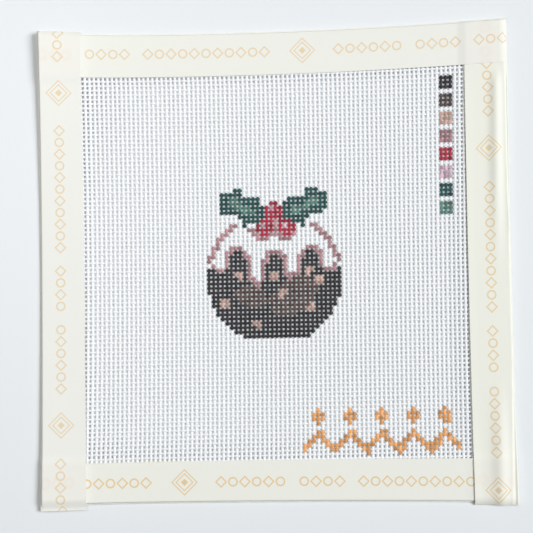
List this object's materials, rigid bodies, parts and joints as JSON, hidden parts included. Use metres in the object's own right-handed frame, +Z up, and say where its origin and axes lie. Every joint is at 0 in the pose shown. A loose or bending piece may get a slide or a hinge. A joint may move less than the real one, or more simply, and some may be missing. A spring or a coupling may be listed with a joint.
{
  "type": "needlepoint canvas",
  "caption": "Square of open-mesh needlepoint canvas with paper tape folded round its edges, hand-painted with a christmas pudding, a colour key and a small border, one edge curling up.",
  "frame": {"origin": "middle of the canvas's outline, on the table that it lies on", "axes": "+X to the picture's right, +Y to the picture's top, +Z up from the table, out of the painted side"},
  "size_m": [0.2086, 0.214, 0.0047],
  "materials": {
    "canvas": "sized white cotton mono canvas, plain open weave",
    "tape": "ivory paper artist tape, slightly translucent, faint crepe",
    "paint_charcoal": "matte acrylic paint on cotton threads",
    "paint_brown": "matte acrylic paint on cotton threads",
    "paint_peach": "matte acrylic paint on cotton threads",
    "paint_mauve": "matte acrylic paint on cotton threads",
    "paint_red": "matte acrylic paint on cotton threads",
    "paint_pink": "matte acrylic paint on cotton threads",
    "paint_teal": "matte acrylic paint on cotton threads",
    "paint_green": "matte acrylic paint on cotton threads",
    "paint_orange": "matte acrylic paint on cotton threads"
  },
  "bodies": {
    "root": {"canvas": "canvas", "paint_arc_left": "paint_mauve", "paint_arc_right": "paint_mauve", "paint_berry_1": "paint_red", "paint_berry_2": "paint_red", "paint_berry_3": "paint_red", "paint_berry_shadow": "paint_mauve", "paint_body": "paint_charcoal", "paint_fruit_1": "paint_peach", "paint_fruit_2": "paint_peach", "paint_fruit_3": "paint_peach", "paint_fruit_4": "paint_peach", "paint_fruit_5": "paint_peach", "paint_fruit_6": "paint_peach", "paint_fruit_7": "paint_peach", "paint_fruit_8": "paint_peach", "paint_icing_line": "paint_mauve", "paint_key_1": "paint_charcoal", "paint_key_2": "paint_brown", "paint_key_3": "paint_peach", "paint_key_4": "paint_mauve", "paint_key_5": "paint_red", "paint_key_6": "paint_pink", "paint_key_7": "paint_teal", "paint_key_8": "paint_green", "paint_leaf_left": "paint_teal", "paint_leaf_right": "paint_teal", "paint_mark_1": "paint_orange", "paint_mark_2": "paint_orange", "paint_mark_3": "paint_orange", "paint_mark_4": "paint_orange", "paint_mark_5": "paint_orange", "paint_mark_line": "paint_orange", "paint_shine_1": "paint_pink", "paint_shine_2": "paint_pink", "paint_shine_3": "paint_pink", "paint_vein_left": "paint_green", "paint_vein_right": "paint_green", "paint_warm_left": "paint_brown", "paint_warm_right": "paint_brown", "tape_bottom": "tape", "tape_left": "tape", "tape_right": "tape", "tape_top": "tape"}
  },
  "joints": []
}
